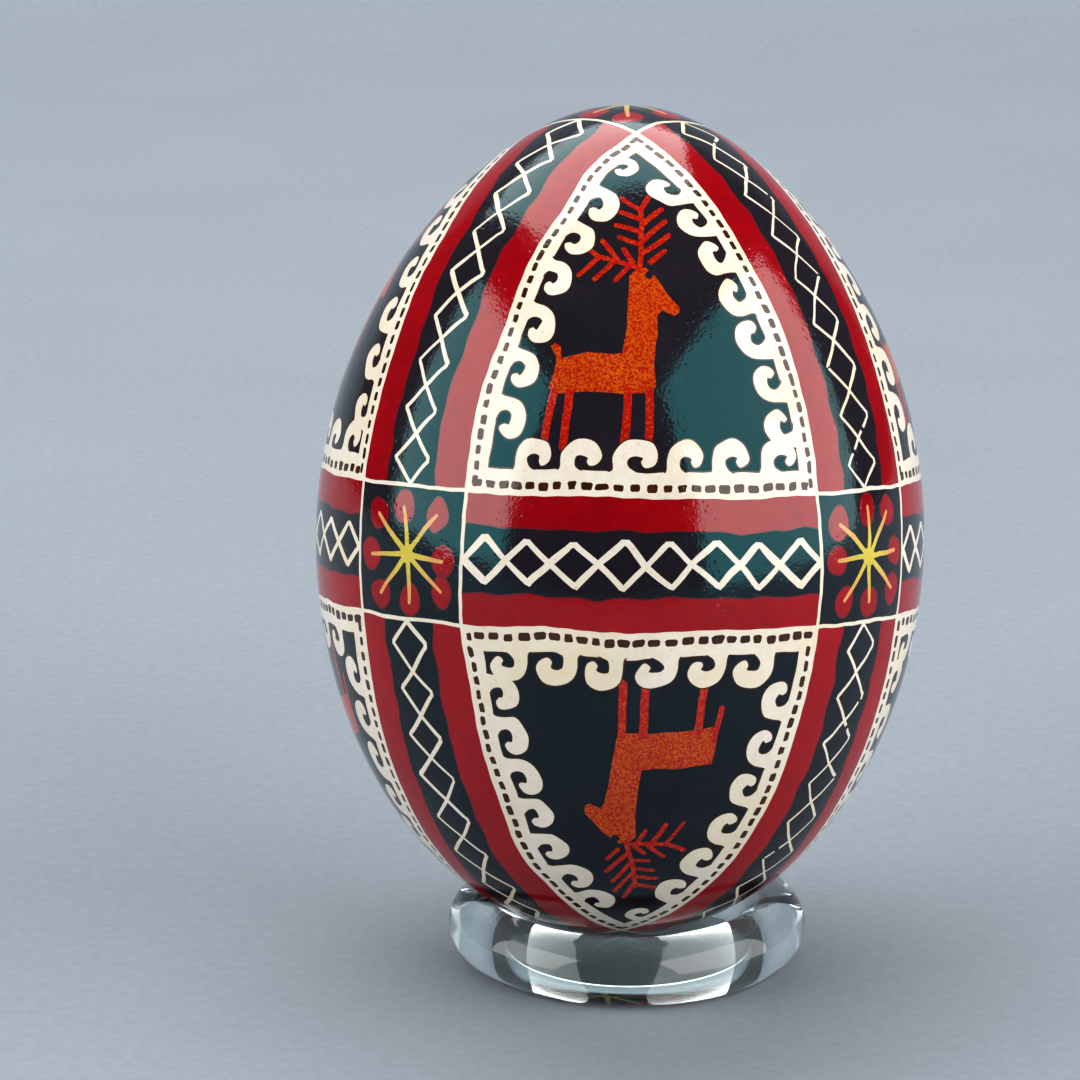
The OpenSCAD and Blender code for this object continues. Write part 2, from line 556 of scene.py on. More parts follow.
# ---- stars
def paint_star(region, spot, along, room, longest):
    """A yellow star of eight rays, each ending in a red petal. room is the half-size of its field."""
    centre = (rng.uniform(-0.25, 0.25), rng.uniform(-0.2, 0.2))
    rays = []
    for k in range(8):
        a = math.radians(45 * k + 4 + rng.normal() * 4)
        reach = longest * (1.0 if k % 2 else 0.86) * rng.uniform(0.93, 1.06)
        tip = np.array([centre[0] + reach * math.cos(a), centre[1] + reach * math.sin(a)])
        rays.append(np.clip(tip, -room + 0.95, room - 0.95))
    for tip in rays:
        rx, ry = 0.9 * rng.uniform(0.92, 1.08), 1.08 * rng.uniform(0.93, 1.08)
        x, y = np.clip(tip * 1.02, [-room[0] + rx + 0.25, -room[1] + ry + 0.25],
                       [room[0] - rx - 0.25, room[1] - ry - 0.25])
        rim = blob(x, y, rx + EDGE_LINE, ry + EDGE_LINE)
        region.paint("dull_red", stamp(spot, along, rim))
        region.paint("red", stamp(spot, along, [x, y] + (rim - [x, y]) * (1 - 2 * EDGE_LINE / (rx + ry))))
    for tip in rays:
        line = np.linspace(centre, tip, 6)
        bend = rng.normal() * 0.07
        way = (tip - centre) / np.linalg.norm(tip - centre)
        left = np.array([-way[1], way[0]])
        line += np.outer(np.sin(np.linspace(0, math.pi, 6)) * bend, left)
        outline = stroke(line, np.linspace(0.42, 0.27, 6))
        cap = [tip + 0.13 * (math.cos(a) * way + math.sin(a) * left) for a in (-0.9, 0, 0.9)]
        outline = np.vstack([outline[:6], cap, outline[6:]])
        region.paint("yellow", stamp(spot, along, outline))
    region.paint("yellow", stamp(spot, along, blob(*centre, 0.63, 0.65, 18, 0.12)))


def field_inset(region, depths, edge_lines, dye):
    """Paints the area inside a region's border; depths gives each border line's inset in millimetres."""
    loops = []
    for line, depth in zip(edge_lines, depths):
        flat = region.chart(line)
        scale = 1.0 if region.end else radius_at(arc_of(line))
        loops.append(offset(flat, depth / scale))
    region.paint_flat(dye, trim_corners(loops))


def crossing(p, q, r, s):
    """The point where segments p-q and r-s cross, or None."""
    d1, d2 = q - p, s - r
    det = d1[0] * d2[1] - d1[1] * d2[0]
    if abs(det) < 1e-15:
        return None
    w = r - p
    t = (w[0] * d2[1] - w[1] * d2[0]) / det
    v = (w[0] * d1[1] - w[1] * d1[0]) / det
    return p + t * d1 if -1e-9 <= t <= 1 + 1e-9 and -1e-9 <= v <= 1 + 1e-9 else None


def last_crossing(line, after):
    """Where a line last crosses the one after it: the index on each, and the point."""
    for i in range(len(line) - 1, 0, -1):
        for j in range(len(after) - 1):
            point = crossing(line[i - 1], line[i], after[j], after[j + 1])
            if point is not None:
                return i, j, point
    return None


def trim_corners(loops):
    """Joins offset border lines into one closed outline, cutting each pair where they cross."""
    lines = [np.vstack([2 * l[0] - l[1], l, 2 * l[-1] - l[-2]]) for l in loops]
    cuts = [last_crossing(line, lines[(k + 1) % len(lines)]) for k, line in enumerate(lines)]
    outline = []
    for k, line in enumerate(lines):
        _, begin, point = cuts[k - 1]
        outline.append(point)
        outline += list(line[begin + 1:cuts[k][0]])
    return np.array(outline)


def square_region(i):
    """Black star square on the belt at arm i."""
    borders = [square_end(i, -1), square_side(i, 1), square_end(i, 1)[::-1], square_side(i, -1)[::-1]]
    region = Region(borders, SPIN[i])
    field_inset(region, [LINE_HALF] * 4, borders, "black")
    paint_star(region, at(SPIN[i], 0.0), east(SPIN[i]), np.array([WIDE[i], BELT_HALF]), STAR_REACH)
    return region


def end_region(up):
    """Black star square on the egg's narrow or blunt end."""
    borders = facing_out([tip_side(i, up) for i in range(4)], up)
    region = Region(borders, end=up)
    field_inset(region, [LINE_HALF] * 4, borders, "black")
    spot = np.array([0.0, 0.0, HEIGHT / 2 * up])
    paint_star(region, spot, east(SPIN[1]), np.array([END_HALF, END_HALF]), END_STAR_REACH)
    return region


# ---- panels: dashes, running scroll, deer
# Points in millimetres: a curl from its root on the border, and a deer above the belt's middle
CURL = [(-0.45, -0.3), (-0.2, -0.02), (0.0, 0.35), (0.05, 1.1), (0.27, 1.75), (0.85, 2.2), (1.67, 2.38),
        (2.4, 2.05), (2.78, 1.3), (2.55, 0.7), (2.08, 0.5), (1.8, 0.8), (1.86, 1.1), (1.5, 1.24),
        (1.1, 1.12), (0.95, 0.8), (1.1, 0.35), (1.55, 0.06), (2.3, -0.3)]
# Depth at which the scroll's field starts, along the belt and along the two upright borders
SCROLL_BASE = [1.62, 1.42, 1.42]
DEER = [(-6.2, 14.5), (-6.65, 15.35), (-6.35, 15.6), (-6.0, 15.2), (-5.9, 14.55), (-4.0, 14.75),
        (-2.2, 14.6), (-1.35, 14.7), (-1.3, 16.5), (-1.25, 18.4), (-1.15, 20.3), (-0.85, 20.9),
        (-0.2, 21.05), (0.4, 20.6), (0.9, 20.1), (1.5, 19.2), (2.2, 18.35), (2.3, 17.85), (1.9, 17.6),
        (1.1, 17.95), (0.85, 17.4), (0.9, 16.0), (0.85, 14.0), (0.7, 12.3), (0.35, 11.8), (-1.5, 11.75),
        (-4.0, 11.85), (-6.2, 11.7), (-6.55, 12.2), (-6.35, 13.4)]
LEGS = [((-5.1, 12.2), (-5.35, 8.0)), ((-1.15, 12.2), (-1.3, 8.0)), ((0.35, 12.2), (0.2, 8.1))]
HIND_LEG = ((-6.15, 12.2), (-6.75, 8.2))
LOW_TAIL = ((-6.2, 12.9), (-6.75, 10.2))
ANTLERS = [((-0.55, 20.7), (-0.5, 25.8)), ((-0.6, 21.1), (-3.4, 21.8)),
           ((0.05, 21.5), (1.15, 22.5)), ((-0.4, 22.2), (1.3, 23.7)), ((-0.4, 23.2), (1.1, 24.9)),
           ((-0.45, 24.4), (0.85, 26.0)), ((-0.5, 25.5), (0.4, 27.0)), ((-0.5, 22.9), (-1.9, 23.4)),
           ((-0.5, 23.9), (-2.15, 24.4)), ((-0.5, 24.8), (-2.1, 25.4)), ((-0.5, 25.6), (-1.9, 26.5)),
           ((-1.2, 21.3), (-2.1, 20.2)), ((-2.3, 21.5), (-3.4, 20.1)), ((-3.3, 21.8), (-4.6, 20.5)),
           ((-2.0, 21.6), (-3.1, 23.1)), ((-3.2, 21.7), (-4.6, 23.0)), ((-1.0, 21.4), (-1.8, 22.5))]
ANTLER_ROOT = (-0.5, 20.9)
DEER_MIDDLE = (-1.8, 15.0)
LEG_WIDTH = 0.56
ANTLER_WIDTH = 0.36
# Turn of the lower deer's antlers, in degrees, and its place to the right of the upper deer's mirror image
LOW_SWAY = 14
LOW_SHIFT = -1.05
# Pitch of the curls, and the bare lengths before and after them on each border
CURL_PITCH = 3.45
CURL_ENDS = [(3.5, 1.1), (3.4, 4.4), (2.6, 3.2)]
# Overlap of the curls with their strip, and width of the brown line round the curls and their strip
CURL_SINK = 0.12
CURL_EDGE = 0.1
BASE_EDGE = 0.11


class Track:
    """A border line that runs anticlockwise round a panel, seen from outside, measured by length."""

    def __init__(self, line):
        self.line = line
        self.along = np.concatenate([[0], np.cumsum(np.linalg.norm(np.diff(line, axis=0), axis=1))])
        self.length = self.along[-1]

    def point(self, t):
        return np.array([np.interp(t, self.along, self.line[:, k]) for k in range(3)])

    def at(self, t):
        """The surface's point at a length along the line, and the line's direction there."""
        return on_egg(self.point(t)[None])[0], self.point(t + 0.4) - self.point(t - 0.4)


def room_at(point, i):
    """Half the panel's width at a point, along the egg's parallel."""
    j = (i + 1) % 4
    arc = arc_of(point[None])[0]
    r = radius_at(arc)
    wide = (SPIN[j] - SPIN[i]) % TURN - math.asin(min(1, WIDE[i] / r)) - math.asin(min(1, WIDE[j] / r))
    return r * wide / 2


def paint_strip(region, track, depth):
    """Cream strip along a border line, over the roots of the scroll."""
    t = np.linspace(0.3, track.length - 0.3, int(track.length / 0.7) + 2)
    low, high = [], []
    for k in t:
        spot, way = track.at(k)
        low.append(stamp(spot, way, [(0, 0.06)])[0])
        high.append(stamp(spot, way, [(0, depth)])[0])
    region.paint("cream", np.array(low + high[::-1]))


def paint_dashes(region, track, level):
    """Row of short brown dashes between the border line and the scroll; level ones are taller."""
    t = 0.75
    while t < track.length - 0.75:
        spot, way = track.at(t)
        w, h = 0.37 * rng.uniform(0.82, 1.14), (0.28 if level else 0.21) * rng.uniform(0.88, 1.12)
        lean = rng.normal() * 0.05
        shape = [(-w + lean, -h * 0.6), (-w * 0.7, -h), (w * 0.75, -h * 0.95), (w - lean, -h * 0.5),
                 (w, h * 0.6), (w * 0.7, h), (-w * 0.7, h * 0.95), (-w, h * 0.5)]
        shape = np.array(shape) + [0, (0.56 if level else 0.5) + rng.normal() * 0.03]
        region.paint("brown", stamp(spot, way, shape))
        t += rng.uniform(0.98, 1.1)


def scroll_curls(track, i, begin, finish):
    """Where each curl of the running scroll stands on a border line, and its size."""
    count = max(1, int(round((track.length - begin - finish) / CURL_PITCH)))
    step = (track.length - begin - finish) / count
    for k in range(count):
        t = begin + step * k
        spot, way = track.at(t)
        ahead, _ = track.at(t + 1.9)
        room = max(room_at(spot, i), room_at(ahead, i))
        size = min(1.0, (room - 0.8) / 3.1) * rng.uniform(0.95, 1.06)
        if size > 0.4:
            yield spot, way, size


def paint_curls(region, dye, curls, grow):
    """The curls in one dye, each outline grown outwards by a width."""
    for spot, way, size, shape, depth in curls:
        outline = smooth(shape, 3)
        if grow:
            outline = offset(np.vstack([outline, outline[:1]]), grow)[:-1]
        region.paint(dye, stamp(spot, way, outline * size + [0, depth]))


def paint_deer(region, spot, along, up):
    """A standing deer with branched antlers, laid out in millimetres from the belt's middle line."""
    shift = np.array(DEER_MIDDLE)
    root = np.array(ANTLER_ROOT)
    sway = math.radians(0 if up > 0 else LOW_SWAY)
    spin = np.array([[math.cos(sway), math.sin(sway)], [-math.sin(sway), math.cos(sway)]])

    def put(dye, outline):
        region.paint(dye, stamp(spot, along, (np.asarray(outline) - shift)))
    body = DEER if up > 0 else DEER[:1] + DEER[4:]
    put("orange", dense(np.array(body) + rng.normal(size=(len(body), 2)) * 0.05, 0.8))
    limbs = [(*leg, LEG_WIDTH) for leg in LEGS]
    limbs.append((*HIND_LEG, LEG_WIDTH) if up > 0 else (*LOW_TAIL, ANTLER_WIDTH))
    for a, b, width in limbs:
        put("ember", dense(pen(a, b, width, 1.0), 0.8))
    for a, b in ANTLERS:
        end = np.array(b) + rng.normal(size=2) * 0.08
        a, end = (root + (np.array(p) - root) @ spin for p in (a, end))
        put("ember", dense(pen(a, end, ANTLER_WIDTH, 0.95), 0.8))
    put("black", blob(0.1, 20.55, 0.26, 0.33, 10, 0.05))


def panel_region(i, up):
    """Panel between arms i and i + 1, above or below the belt."""
    j = (i + 1) % 4
    borders = [belt_side(i, up), upright_edge(j, -1, up), upright_edge(i, 1, up)[::-1]]
    if up < 0:
        borders = [b[::-1] for b in (borders[0], borders[2], borders[1])]
    mid = SPIN[i] + ((SPIN[j] - SPIN[i]) % TURN) / 2
    region = Region(borders, mid)
    waves = [ripple(len(b), 4, 0.05) for b in borders]
    field_inset(region, [d + w for d, w in zip(SCROLL_BASE, waves)], borders, "brown")
    field_inset(region, [d + BASE_EDGE + w for d, w in zip(SCROLL_BASE, waves)], borders, "black")
    tracks = [Track(b) for b in borders]
    deer_arc = up * DEER_MIDDLE[1]
    deer_x = DEER_MIDDLE[0] if up > 0 else -DEER_MIDDLE[0] + LOW_SHIFT
    deer_phi = mid + deer_x / radius_at(deer_arc)
    paint_deer(region, at(deer_phi, deer_arc), east(deer_phi) * up, up)
    curls = []
    for k, track in enumerate(tracks):
        for spot, way, size in scroll_curls(track, i, *CURL_ENDS[k]):
            shape = np.array(CURL) + rng.normal(size=(len(CURL), 2)) * 0.035
            curls.append((spot, way, size, shape, SCROLL_BASE[k] - CURL_SINK))
    paint_curls(region, "brown", curls, CURL_EDGE)
    paint_curls(region, "cream", curls, 0)
    for track, depth in zip(tracks, SCROLL_BASE):
        paint_strip(region, track, depth - 0.02)
    for k, track in enumerate(tracks):
        paint_dashes(region, track, k == 0)
    return region


# ---- the shell, one solid for each colour
def add_object(name, data):
    thing = bpy.data.objects.new(name, data)
    bpy.context.scene.collection.objects.link(thing)
    return thing


def add_mesh(name, points, faces):
    """A new smooth-shaded mesh object."""
    mesh = bpy.data.meshes.new(name)
    mesh.from_pydata([tuple(p) for p in points], [], faces)
    mesh.polygons.foreach_set("use_smooth", [True] * len(faces))
    mesh.update()
    return add_object(name, mesh)


def to_world(points):
    """The egg's own millimetres to world metres."""
    return points @ TO_WORLD * MM + np.array(MIDDLE)


def in_egg(points):
    """World metres to the egg's own millimetres."""
    return (np.array([tuple(p) for p in points]) - np.array(MIDDLE)) @ TO_WORLD.T / MM


def cut_regions():
    """All regions cut into triangles and welded along their shared borders."""
    regions = [square_region(i) for i in range(4)] + [belt_region(i) for i in range(4)]
    regions += [end_region(up) for up in (1, -1)]
    regions += [arm_region(i, up) for i in range(4) for up in (1, -1)]
    regions += [panel_region(i, up) for i in range(4) for up in (1, -1)]
    points, known, triangles, dyes = [], {}, [], []
    for region in regions:
        solid, faces, colours = region.cut()
        index = []
        for p in solid:
            key = tuple(np.round(p, 5))
            if key not in known:
                known[key] = len(points)
                points.append(p)
            index.append(known[key])
        for face, colour in zip(faces, colours):
            corner = tuple(index[v] for v in face)
            if len(set(corner)) == 3:
                triangles.append(corner)
                dyes.append(colour)
    return unsteady(np.array(points)), np.array(triangles), np.array(dyes)


def split_pinches(triangles):
    """Gives each fan of triangles its own vertex where two fans meet only in a point.

    Returns the triangles, and the vertex that each new vertex copies."""
    triangles = np.array(triangles)
    sources = list(range(int(triangles.max()) + 1))
    around = {}
    for f, tri in enumerate(triangles):
        for v in tri:
            around.setdefault(int(v), []).append(f)
    for v, faces in around.items():
        left = set(faces)
        fans = []
        while left:
            fan, grow = set(), [left.pop()]
            while grow:
                f = grow.pop()
                fan.add(f)
                for g in list(left):
                    shared = set(map(int, triangles[f])) & set(map(int, triangles[g]))
                    if len(shared) >= 2 and v in shared:
                        left.discard(g)
                        grow.append(g)
            fans.append(fan)
        for fan in fans[1:]:
            sources.append(v)
            for f in fan:
                triangles[f][triangles[f] == v] = len(sources) - 1
    return triangles, sources


def shell_piece(name, points, triangles):
    """A closed solid: the dyed surface, the wall under it down to the membrane, and its rims."""
    used = np.unique(triangles)
    renumber = -np.ones(len(points), int)
    renumber[used] = np.arange(len(used))
    corners, sources = split_pinches(renumber[triangles])
    outer = points[used][sources]
    n = normals_at(outer)
    count = len(outer)
    under = outer - n * SKIN
    faces = [tuple(t) for t in corners.tolist()]
    sides = [edge for a, b, c in faces for edge in ((a, b), (b, c), (c, a))]
    paired = set(sides)
    rims = [(a, b) for a, b in sides if (b, a) not in paired]
    faces += [(c + count, b + count, a + count) for a, b, c in faces]
    faces += [(b, a, a + count, b + count) for a, b in rims]
    local = np.vstack([outer, under])
    piece = add_mesh(name, to_world(local), faces)
    mesh = piece.data
    flat = len(corners)
    mesh.polygons.foreach_set("use_smooth", [k < 2 * flat for k in range(len(mesh.polygons))])
    turned = n @ TO_WORLD
    custom = np.zeros((len(mesh.loops), 3))
    custom[:3 * flat] = turned[corners.ravel()]
    custom[3 * flat:6 * flat] = -turned[corners[:, ::-1].ravel()]
    mesh.normals_split_custom_set([tuple(c) for c in custom])
    return piece, local


# ---- materials
class Nodes:
    """Short helper for building a node material."""

    def __init__(self, name):
        self.material = bpy.data.materials.new(name)
        self.material.use_nodes = True
        self.tree = self.material.node_tree
        self.shader = next(n for n in self.tree.nodes if n.type == "BSDF_PRINCIPLED")
        self.place = self.add("ShaderNodeTexCoord").outputs["Object"]

    def feed(self, socket, value):
        """Sets a socket to a constant, or links another socket to it."""
        if isinstance(value, bpy.types.NodeSocket):
            self.tree.links.new(value, socket)
        else:
            socket.default_value = value

    def add(self, kind, inputs=None, **settings):
        """A new node, with constants or links for its inputs."""
        node = self.tree.nodes.new(kind)
        for key, value in settings.items():
            setattr(node, key, value)
        for key, value in (inputs or {}).items():
            self.feed(node.inputs[key], value)
        return node

    def noise(self, size, detail=3.0, rough=0.5):
        """Noise whose features are about size millimetres across, from 0 to 1."""
        inputs = {"Scale": 1 / (size * MM), "Detail": detail, "Roughness": rough, "Vector": self.place}
        return self.add("ShaderNodeTexNoise", inputs).outputs["Fac"]

    def spots(self, size):
        inputs = {"Scale": 1 / (size * MM), "Vector": self.place}
        return self.add("ShaderNodeTexVoronoi", inputs).outputs["Distance"]

    def ramp(self, value, *stops):
        """Colour ramp; each stop is (position, (r, g, b))."""
        node = self.add("ShaderNodeValToRGB", {"Fac": value})
        band = node.color_ramp
        while len(band.elements) < len(stops):
            band.elements.new(0.5)
        for element, (position, colour) in zip(band.elements, stops):
            element.position = position
            element.color = (*colour, 1)
        return node.outputs["Color"]

    def span(self, value, low, high, to_low, to_high):
        """A value moved from one range to another."""
        inputs = {"From Min": low, "From Max": high, "To Min": to_low, "To Max": to_high, "Value": value}
        return self.add("ShaderNodeMapRange", inputs).outputs["Result"]

    def mix(self, share, a, b):
        """Colour a mixed with a share of colour b."""
        node = self.add("ShaderNodeMix", data_type="RGBA", blend_type="MIX")
        self.feed(node.inputs["Factor"], share)
        for key, value in (("A", a), ("B", b)):
            socket = next(s for s in node.inputs if s.name == key and s.type == "RGBA")
            self.feed(socket, (*value, 1) if isinstance(value, tuple) else value)
        return next(s for s in node.outputs if s.type == "RGBA")

    def bump(self, height, distance, under=None):
        """Bump of a depth in millimetres, over another bump if there is one."""
        inputs = {"Distance": distance * MM, "Strength": 1.0, "Height": height}
        if under:
            inputs["Normal"] = under
        return self.add("ShaderNodeBump", inputs).outputs["Normal"]

    def set(self, **values):
        """Sets the shader's inputs and returns the material."""
        for key, value in values.items():
            self.feed(self.shader.inputs[key.replace("_", " ")], value)
        return self.material


def srgb(r, g, b):
    """Linear colour from 0 to 255 display values."""
    return tuple(((v / 255 + 0.055) / 1.055) ** 2.4 if v > 10 else v / 255 / 12.92 for v in (r, g, b))


def varnished(n):
    """The bumps of the old varnish over every dye, which is glossy: eggshell pores, dust specks and slow
    unevenness.
    """
    pores = n.span(n.spots(0.5), 0.0, 0.3, 0.0, 1.0)
    slow = n.bump(n.noise(2.6, 2.0), 0.04)
    fine = n.bump(n.noise(0.22, 1.0), 0.0065, slow)
    return n.bump(pores, 0.007, fine)


def stains(n, colour):
    """Warm stains where dye has crept under the wax, and a few brown specks."""
    warm = n.mix(n.span(n.noise(7.0, 3.0), 0.5, 0.72, 0.0, 0.55), colour, srgb(226, 210, 164))
    return n.mix(n.span(n.noise(0.33, 2.0), 0.69, 0.75, 0.0, 0.45), warm, srgb(190, 130, 80))


def red_specks(n, colour):
    return n.mix(n.span(n.noise(0.17, 2.0, 0.6), 0.44, 0.56, 0.0, 0.9), colour, srgb(158, 14, 8))


def orange_specks(n, colour):
    return n.mix(n.span(n.noise(0.22, 2.0, 0.6), 0.5, 0.64, 0.0, 0.8), colour, srgb(196, 72, 14))


def ray_tips(n, colour):
    far = n.add("ShaderNodeAttribute", attribute_name="ray_reach").outputs["Fac"]
    return n.mix(n.span(far, 1.2, 3.2, 0.0, 0.9), colour, srgb(220, 150, 96))


# Tint of the gloss over black; the other colours have a white gloss
TEAL_GLOSS = (0.08, 0.64, 0.68, 1)
# For each colour: its piece, slot and material, its dark, plain and pale tones, the size of its mottling
# in millimetres, and what is drawn over it
DYES = {
    "cream": ("shell_bare_lines", "bare_shell", "bare_shell_cream",
              [(222, 211, 190), (233, 224, 209), (240, 233, 221)], 1.5, stains),
    "black": ("shell_black_fields", "dye_black", "dye_black",
              [(33, 28, 34), (38, 32, 39), (44, 38, 45)], 1.6, None),
    "red": ("shell_red_bands", "dye_red", "dye_red",
            [(132, 0, 12), (150, 0, 16), (162, 2, 20)], 2.2, None),
    "dull_red": ("shell_dull_red_edges", "dye_red", "dye_dull_red",
                 [(84, 22, 34), (104, 26, 38), (120, 32, 44)], 1.0, None),
    "brown": ("shell_brown_dashes", "dye_black", "dye_brown",
              [(44, 20, 8), (62, 32, 12), (84, 46, 22)], 0.8, None),
    "orange": ("shell_orange_deer", "dye_orange", "dye_orange",
               [(178, 68, 8), (194, 86, 12), (206, 102, 20)], 0.9, red_specks),
    "ember": ("shell_red_antlers_and_legs", "dye_orange", "dye_ember",
              [(152, 10, 10), (172, 24, 14), (184, 36, 16)], 0.9, orange_specks),
    "yellow": ("shell_yellow_stars", "dye_yellow", "dye_yellow",
               [(190, 172, 58), (208, 190, 78), (218, 204, 108)], 0.8, ray_tips),
}


def dye_material(name, tones, size, over):
    """A dye with slow and fine mottling under the varnish."""
    n = Nodes(name)
    gloss = TEAL_GLOSS if name == "dye_black" else (1, 1, 1, 1)
    dark, plain, pale = (srgb(*tone) for tone in tones)
    slow = n.ramp(n.noise(size * 3, 4.0, 0.6), (0.3, dark), (0.52, plain), (0.75, pale))
    fine = n.ramp(n.noise(size * 0.35, 3.0), (0.3, dark), (0.6, plain), (0.8, pale))
    colour = n.mix(0.45, slow, fine)
    if over:
        colour = over(n, colour)
    rough = n.span(n.noise(0.9, 4.0), 0.3, 0.7, 0.07, 0.12)
    return n.set(Base_Color=colour, Roughness=rough, Normal=varnished(n), Specular_Tint=gloss)


def egg_pieces():
    """The decorated shell: one closed solid for each colour, all riding on the egg."""
    points, triangles, dyes = cut_regions()
    stars = [at(SPIN[i], 0.0) for i in range(4)]
    stars += [np.array([0, 0, HEIGHT / 2 * up]) for up in (1, -1)]
    for colour, (name, slot, *look) in DYES.items():
        piece, local = shell_piece(name, points, triangles[dyes == colour])
        if colour == "yellow":
            reach = np.min([np.linalg.norm(local - s, axis=1) for s in stars], axis=0)
            piece.data.attributes.new("ray_reach", "FLOAT", "POINT").data.foreach_set("value", reach)
        piece.data.materials.append(dye_material(*look))
        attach(piece, "egg")
        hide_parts("shell", "varnish")


# ---- glass ring
def glass_material():
    n = Nodes("clear_glass")
    dust = n.span(n.noise(3.0, 2.0), 0.35, 0.75, 0.01, 0.045)
    tint = n.ramp(n.noise(9.0, 2.0), (0.35, (0.84, 0.93, 0.92)), (0.7, (0.9, 0.96, 0.95)))
    wave = n.bump(n.noise(7.0, 0.0), 0.16)
    return n.set(Base_Color=tint, Roughness=dust, Normal=wave, Transmission_Weight=1.0, IOR=1.49)


def ring_piece():
    """The ring of clear rod: a loop with a flat foot, a little uneven as hand-bent glass is."""
    low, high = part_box("ring_stand")
    outer = (high.x - low.x) / 2
    hole = min(math.hypot(p.x, p.y) for p in packed_points("ring_stand"))
    rod = (outer - hole) / 2
    middle = (outer + hole) / 2
    level = high.z - rod
    around, section = 160, 56
    verts = []
    for i in range(around):
        a = 2 * math.pi * i / around
        fat = 1 - 0.006 * (1 + math.sin(2 * a + 0.6)) - 0.004 * (1 + math.sin(3 * a + 2.1))
        for k in range(section):
            b = 2 * math.pi * k / section
            r = middle + rod * fat * math.cos(b)
            z = max(level + rod * fat * math.sin(b), 0.0)
            verts.append((r * math.cos(a), r * math.sin(a), z))
    faces = []
    for i in range(around):
        a, b = i * section, (i + 1) % around * section
        faces += [(a + k, b + k, b + (k + 1) % section, a + (k + 1) % section) for k in range(section)]
    piece = add_mesh("glass_ring", verts, faces)
    piece.data.materials.append(glass_material())
    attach(piece, "ring")
    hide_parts("ring_stand")


# ---- dried contents and membranes
def membrane_material(name, plain):
    n = Nodes(name)
    veins = n.ramp(n.noise(1.6, 6.0, 0.7), (0.35, plain), (0.62, tuple(c * 0.82 for c in plain)))
    fibres = n.bump(n.noise(0.25, 4.0, 0.7), 0.01)
    return n.set(Base_Color=veins, Roughness=0.62, Normal=fibres)


def dried_material(name, mottle, tones, roughness, grain, depth):
    """A dried food; mottle and grain are the noises of its colour and its bump."""
    n = Nodes(name)
    colour = n.ramp(n.noise(*mottle), *((at_share, srgb(*tone)) for at_share, tone in tones))
    return n.set(Base_Color=colour, Roughness=roughness, Normal=n.bump(n.noise(*grain), depth))


def white_material():
    tones = [(0.3, (176, 128, 52)), (0.55, (206, 168, 92)), (0.8, (226, 200, 142))]
    return dried_material("dried_white_crust", (2.4, 4.0), tones, 0.22, (0.8, 4.0), 0.06)


def yolk_material():
    tones = [(0.3, (148, 84, 20)), (0.52, (188, 118, 34)), (0.8, (214, 156, 66))]
    return dried_material("dried_yolk_cake", (1.8, 6.0, 0.65), tones, 0.7, (0.5, 5.0), 0.12)


def grid_piece(name, rows, material, body, node):
    """A closed solid from rings of local points, with one point at each end."""
    count = len(rows[1])
    local = np.vstack([rows[0][:1]] + rows[1:-1] + [rows[-1][:1]])
    faces = [(0, 1 + k, 1 + (k + 1) % count) for k in range(count)]
    for i in range(len(rows) - 3):
        a, b = 1 + i * count, 1 + (i + 1) * count
        faces += [(a + k, b + k, b + (k + 1) % count, a + (k + 1) % count) for k in range(count)]
    a, last = 1 + (len(rows) - 3) * count, len(local) - 1
    faces += [(a + (k + 1) % count, a + k, last) for k in range(count)]
    piece = add_mesh(name, to_world(local), faces)
    piece.data.materials.append(material)
    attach(piece, body)
    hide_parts(node)


def ringed(r, z, count=144):
    """A level circle of local points."""
    a = np.arange(count) * 2 * math.pi / count
    return np.stack([r * np.cos(a), r * np.sin(a), np.full(count, z)], -1)


def lumps(points, size):
    """Lumpy noise at each point, with features about size millimetres across."""
    return np.array([noise.fractal(Vector(p) / size, 0.6, 2.0, 4) for p in points])


def dried_white_piece():
    """Thin amber crust that settled on the membrane across the air cell, cracked as it dried."""
    local = in_egg(packed_points("dried_white"))
    reach = np.hypot(local[:, 0], local[:, 1])
    wide = reach.max()
    steps = np.linspace(0, wide, 34)
    low = [local[np.abs(reach - s) < wide / 24][:, 2].min() for s in steps]
    high = [local[np.abs(reach - s) < wide / 24][:, 2].max() for s in steps]
    upper = []
    for s, z0, z1 in zip(steps, low, high):
        line = ringed(s * 0.995, z1)
        share = np.clip(0.03 + 0.45 * np.abs(lumps(line, 2.6)), 0, 0.8)
        line[:, 2] = z1 - (z1 - z0) * share * (1 - 0.5 * (s / wide) ** 4)
        upper.append(line)
    lower = [ringed(s * 0.995, z0 + 0.04) for s, z0 in zip(steps, low)]
    rows = upper + lower[::-1]
    grid_piece("dried_white_crust", rows, white_material(), "egg", "dried_white")


def dried_yolk_piece():
    """The loose dried yolk: a shrunken ball with folds and cracks."""
    local = in_egg(packed_points("dried_yolk"))
    low, high = local[:, 2].min(), local[:, 2].max()
    wide = np.hypot(local[:, 0], local[:, 1]).max()
    centre = np.array([0, 0, (low + high) / 2])
    rows = []
    for a in np.linspace(0, math.pi, 90):
        ring = ringed(wide * math.sin(a), (low + high) / 2 + (high - low) / 2 * math.cos(a))
        folds = 0.02 * np.abs(lumps(ring, 6.0)) + 0.014 * np.abs(lumps(ring + 40, 1.7))
        cracks = [noise.voronoi(Vector(p) / 4.6)[0] for p in ring]
        crack = np.array([max(0.0, 1 - (d[1] - d[0]) / 0.09) for d in cracks])
        rows.append(centre + (ring - centre) * (0.995 - np.minimum(folds, 0.04) - 0.022 * crack)[:, None])
    rows[0][:] = rows[0].mean(0)
    rows[-1][:] = rows[-1].mean(0)
    grid_piece("dried_yolk_cake", rows, yolk_material(), "yolk", "dried_yolk")


